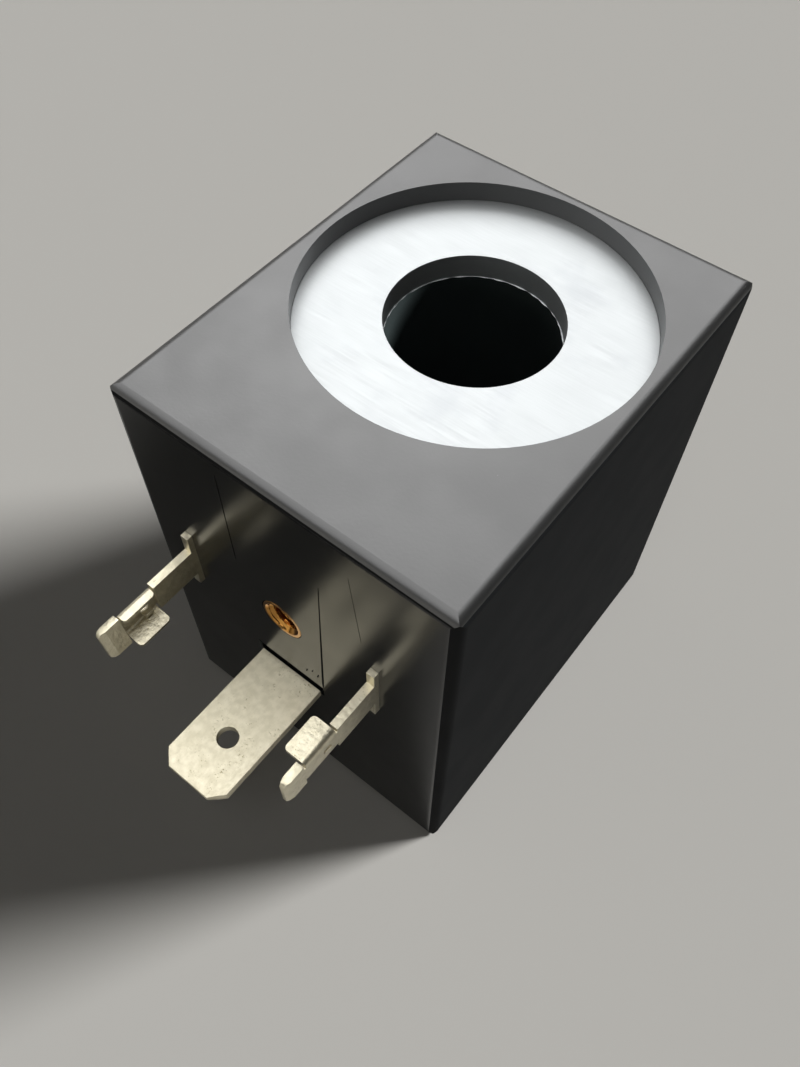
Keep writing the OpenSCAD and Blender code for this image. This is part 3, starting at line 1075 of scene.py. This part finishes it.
@dataclass
class Moulding:
    """The moulded block, and the marks in x and z on its terminal face.

    Its top and its recess come off a stoned part of the tool, the terminal face off a polished
    slide and the other walls off a spark-eroded cavity.
    """

    finishes: tuple[Finish, ...] = (ERODED, SATIN, POLISHED)
    edge_r: float = 0.8
    same_plane: float = 0.02
    steps: int = 60
    facets: int = 10
    taper: float = 0.06
    marks: tuple[FaceMark, ...] = (
        FaceMark("split_line_left", (-4.8, 38.6), (-4.8, 28.4), (0.04, 0.04), 0.03, FLASH),
        FaceMark("split_line_right", (3.4, 33.4), (2.5, 16.25), (0.02, 0.12), 0.04, FLASH),
        FaceMark("split_line_faint", (6.1, 37.4), (6.9, 29.6), (0.02, 0.02), 0.015, FLASH),
        FaceMark("flash_crumb_low", (0.85, 17.35), (0.95, 17.75), (0.05, 0.07), 0.04, FLASH),
        FaceMark("flash_crumb_mid", (1.5, 18.05), (1.6, 18.35), (0.06, 0.05), 0.04, FLASH),
        FaceMark("flash_crumb_high", (2.05, 17.75), (2.15, 18.2), (0.08, 0.05), 0.05, FLASH),
        FaceMark("slot_end_skin", (-4.33, 14.6), (-4.33, 16.3), (0.22, 0.22), 0.03, POLISHED),
    )

    def finish_places(self, vertices: np.ndarray) -> np.ndarray:
        """Tells which of the finishes each face of the block has.

        A face is satin where its centre lies on the top or on the upper half of its rounded edges,
        or where it lies round the top plate and rises above it, which is the wall of the recess. It
        is polished where its centre lies on the terminal face, and eroded elsewhere.

        Args:
            vertices: The corners of each face, in millimetres.

        Returns:
            The place in the list of finishes, for each face.
        """
        low, high = box_mm("encapsulation")
        plate_low, plate_high = box_mm("top_pole_plate")
        recess_r = (plate_high[0] - plate_low[0]) / 2
        centre, peak = vertices.mean(axis=1), vertices.max(axis=1)
        off_axis = np.hypot(centre[:, 0], centre[:, 1])
        top = centre[:, 2] > high[2] - self.edge_r / 2
        recess = (off_axis < recess_r + self.same_plane) & (peak[:, 2] > plate_high[2])
        face = centre[:, 1] < low[1] + self.same_plane
        eroded, satin, polished = (self.finishes.index(f) for f in (ERODED, SATIN, POLISHED))
        return np.select([top | recess, face], [satin, polished], eroded).astype(np.int32)

    def block(self, frame: dict) -> bpy.types.Object:
        """Copies the block, welded, with the CAD's own normals and a finish for each part of the tool.

        Args:
            frame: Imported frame.

        Returns:
            The block, which replaces its CAD node.
        """
        source = frame["nodes"]["encapsulation"].data
        points = np.empty(3 * len(source.vertices))
        corners = np.empty(len(source.loops), dtype=int)
        normals = np.empty(3 * len(source.loops))
        source.vertices.foreach_get("co", points)
        source.loops.foreach_get("vertex_index", corners)
        source.corner_normals.foreach_get("vector", normals)
        points = points.reshape(-1, 3)
        keys = np.round(points / (WELD_MM * MM)).astype(int)
        _, first, welded = np.unique(keys, axis=0, return_index=True, return_inverse=True)
        triangles = welded.reshape(-1)[corners].reshape(-1, 3)
        mesh = bpy.data.meshes.new("moulded_block")
        mesh.from_pydata(points[first].tolist(), [], triangles.tolist())
        mesh.shade_smooth()
        mesh.normals_split_custom_set(normals.reshape(-1, 3).tolist())
        for finish in self.finishes:
            mesh.materials.append(material_of(finish))
        places = self.finish_places(points[first][triangles] / MM)
        mesh.polygons.foreach_set("material_index", places)
        piece = new_piece("moulded_block", mesh)
        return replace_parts(piece, "encapsulation")

    def mark(self, mark: FaceMark, face_y: float) -> bpy.types.Object:
        """Builds one mark as a low ridge that fades out at both ends.

        It is an ellipse carried along a straight line in the face. Its width goes evenly from the
        first half width to the second, and its size follows the square root of the distance from
        either end, up to full size.

        Args:
            mark: Mark to build.
            face_y: Place of the terminal face.

        Returns:
            The ridge.
        """
        t = np.linspace(0, 1, self.steps)[:, None]
        start, end = np.array(mark.start), np.array(mark.end)
        flat = start + t * (end - start)
        centres = np.stack([flat[:, 0], np.full(self.steps, face_y), flat[:, 1]], -1)
        size = np.sqrt(np.clip(np.minimum(t, 1 - t) / self.taper, 0, 1))
        along = (end - start) / np.linalg.norm(end - start)
        half_w = mark.half_w[0] + t * (mark.half_w[1] - mark.half_w[0])
        across = size * half_w * np.array([along[1], 0, -along[0]])
        out = size * mark.half_t * np.array([0, -1.0, 0])
        points = flat_tube(centres, across, out, self.facets)
        quads = grid_quads(self.steps, self.facets, close_rows=False)
        return closed_piece(mark.name, points, quads, mark.finish)

    def build(self, frame: dict) -> None:
        """Builds the block and the marks on it.

        Args:
            frame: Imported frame.
        """
        self.block(frame)
        LOG.info("built moulded_block")
        low, _ = box_mm("encapsulation")
        for mark in self.marks:
            self.mark(mark, low[1])
            LOG.info("built %s", mark.name)


@dataclass(frozen=True)
class Lamp:
    """A soft rectangular lamp that looks at the object, and whether matt surfaces see its light."""

    name: str
    away: tuple[float, float, float]
    size_m: tuple[float, float]
    radiance: float
    lights_matt: bool


@dataclass(frozen=True)
class DistantLamp:
    """A lamp so far off that it lights the whole floor alike, and so wide that its shadows are soft."""

    name: str
    away: tuple[float, float, float]
    wide_deg: float
    irradiance: float


@dataclass
class Studio:
    """Pale floor that rises into a backdrop, soft lamps, cards to be mirrored and an even surround.

    The key and the fill light matt surfaces. The cards, which stand for a window and a pale
    ceiling, show only as sheen on satin, polished and metal surfaces.
    """

    floor_colour: str = "#c9c7c2"
    floor_roughness: float = 0.65
    floor_r_m: float = 2.5
    rise_r_m: float = 1.2
    rings: int = 60
    segments: int = 96
    ambient: float = 0.03
    surround: float = 0.2
    aim: tuple[float, float, float] = (0.0, -4.0, 30.0)
    key: DistantLamp = DistantLamp("key_lamp", (0.49, 0.71, 0.44), wide_deg=17.0, irradiance=4.7)
    lamp_distance_m: float = 1.2
    lamps: tuple[Lamp, ...] = (
        Lamp("fill_lamp", (0.1, -0.3, 0.95), (0.4, 0.4), radiance=1.0, lights_matt=True),
        Lamp("window_card", (-0.30, 0.70, 0.63), (1.3, 0.75), radiance=2.5, lights_matt=False),
        Lamp("ceiling_card", (-0.30, -0.05, 0.95), (1.9, 1.7), radiance=1.8, lights_matt=False),
    )

    def floor(self) -> bpy.types.Object:
        """Builds the floor as a bowl about the bore axis.

        The height over radius r is nothing within the floor's radius, and
        R - sqrt(R^2 - (r - floor)^2) on the rise of radius R outside it.

        Returns:
            The floor.
        """
        flat = np.linspace(0, self.floor_r_m, self.rings // 2, endpoint=False)
        lift = np.sin(np.linspace(0, math.pi / 2, self.rings - self.rings // 2))
        r = np.concatenate([flat, self.floor_r_m + self.rise_r_m * lift])
        over = np.clip(r - self.floor_r_m, 0, self.rise_r_m)
        z = self.rise_r_m - np.sqrt(self.rise_r_m**2 - over**2)
        points = revolve(np.stack([r, z], -1), self.segments)
        quads = grid_quads(self.rings, self.segments, close_rows=False)
        mesh = bpy.data.meshes.new("floor")
        mesh.from_pydata(points.tolist(), [], quads.tolist())
        mesh.shade_smooth()
        # Board painted with a roller: pale and dead matt, without any glare
        material = bpy.data.materials.new("painted_board_pale")
        material.use_nodes = True
        shader = material.node_tree.nodes["Principled BSDF"]
        shader.inputs["Base Color"].default_value = linear(self.floor_colour)
        shader.inputs["Roughness"].default_value = self.floor_roughness
        shader.inputs["Specular IOR Level"].default_value = 0.0
        mesh.materials.append(material)
        floor = bpy.data.objects.new("floor", mesh)
        bpy.context.scene.collection.objects.link(floor)
        # The rise must not shade the floor from the key
        floor.visible_shadow = False
        return floor

    def distant(self, lamp: DistantLamp) -> bpy.types.Object:
        """Places the distant lamp, which matt surfaces see and mirrors do not.

        Args:
            lamp: Lamp to place.

        Returns:
            The lamp's object.
        """
        light = bpy.data.lights.new(lamp.name, "SUN")
        light.angle = math.radians(lamp.wide_deg)
        light.energy = lamp.irradiance
        body = bpy.data.objects.new(lamp.name, light)
        body.visible_glossy = False
        body.rotation_euler = Vector(lamp.away).to_track_quat("Z", "Y").to_euler()
        bpy.context.scene.collection.objects.link(body)
        return body

    def lamp(self, lamp: Lamp) -> bpy.types.Object:
        """Places one lamp, whose power is its radiance times its area times pi.

        Args:
            lamp: Lamp to place.

        Returns:
            The lamp's object.
        """
        light = bpy.data.lights.new(lamp.name, "AREA")
        light.shape = "RECTANGLE"
        light.size, light.size_y = lamp.size_m
        light.energy = lamp.radiance * math.pi * lamp.size_m[0] * lamp.size_m[1]
        away = Vector(lamp.away).normalized()
        body = bpy.data.objects.new(lamp.name, light)
        body.location = Vector(self.aim) * MM + away * self.lamp_distance_m
        body.visible_diffuse = lamp.lights_matt
        body.rotation_euler = away.to_track_quat("Z", "Y").to_euler()
        bpy.context.scene.collection.objects.link(body)
        return body

    def surroundings(self) -> None:
        """Lights the scene weakly from all round, with a paler surround for the camera and mirrors."""
        world = bpy.data.worlds.new("even_surround")
        world.use_nodes = True
        tree = world.node_tree
        ray = add_node(tree, "LightPath", {}, {})
        seen = add_node(tree, "Math", {"operation": "MAXIMUM"}, {
            0: ray.outputs["Is Camera Ray"], 1: ray.outputs["Is Glossy Ray"],
        }).outputs[0]
        shown = add_node(tree, "Math", {"operation": "MAXIMUM"}, {
            0: seen, 1: ray.outputs["Is Transmission Ray"],
        }).outputs[0]
        strength = add_node(tree, "MapRange", {}, {
            "Value": shown, "To Min": self.ambient, "To Max": self.surround,
        }).outputs["Result"]
        background = tree.nodes["Background"]
        background.inputs["Color"].default_value = linear(self.floor_colour)
        tree.links.new(strength, background.inputs["Strength"])
        bpy.context.scene.world = world

    def build(self) -> None:
        """Builds the floor, the lamps and the surround."""
        self.floor()
        self.distant(self.key)
        for lamp in self.lamps:
            self.lamp(lamp)
        self.surroundings()
        bpy.context.scene.view_settings.view_transform = "Standard"


@dataclass(frozen=True)
class PhotoCamera:
    """Camera at the photograph's viewing angle, close to the object and looking well down on it."""

    eye: tuple[float, float, float] = (26.26, -42.36, 86.39)
    target: tuple[float, float, float] = (3.64, -13.02, 30.0)
    roll_deg: float = 0.82
    focal_px: float = 947.9
    frame_px: tuple[int, int] = (800, 1067)
    sensor_mm: float = 36.0
    nearest_mm: float = 2.0

    def build(self) -> bpy.types.Object:
        """Makes the camera and gives it to the scene.

        Returns:
            The camera's object.
        """
        lens = bpy.data.cameras.new("photo_camera")
        lens.sensor_width = self.sensor_mm
        lens.lens = self.focal_px / max(self.frame_px) * self.sensor_mm
        lens.clip_start = self.nearest_mm * MM
        eye = Vector(self.eye)
        look = (Vector(self.target) - eye).to_track_quat("-Z", "Y").to_matrix()
        turn = look @ Matrix.Rotation(math.radians(self.roll_deg), 3, "Z")
        camera = bpy.data.objects.new("photo_camera", lens)
        camera.matrix_world = Matrix.Translation(eye * MM) @ turn.to_4x4()
        bpy.context.scene.collection.objects.link(camera)
        bpy.context.scene.camera = camera
        return camera


def mount(frame: dict, name: str) -> dict:
    """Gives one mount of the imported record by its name."""
    return next(m for m in frame["record"]["mounts"] if m["name"] == name)


def main() -> None:
    """Builds the coil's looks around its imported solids."""
    logging.basicConfig(level=logging.INFO, format="%(name)s: %(message)s")
    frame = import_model()
    bore_r = mount(frame, "bore")["dims"]["r_mm"]
    screw = mount(frame, "plug_screw")["dims"]
    for node, finish in NODE_FINISHES.items():
        dress(frame["nodes"][node], finish)
        LOG.info("dressed %s", node)
    Moulding().build(frame)
    MagneticCircuit().build(bore_r)
    ScrewInsert().build(screw["r_mm"], screw["length_mm"])
    Terminals().build(frame)
    Studio().build()
    PhotoCamera().build()


if __name__ == "__main__":
    main()
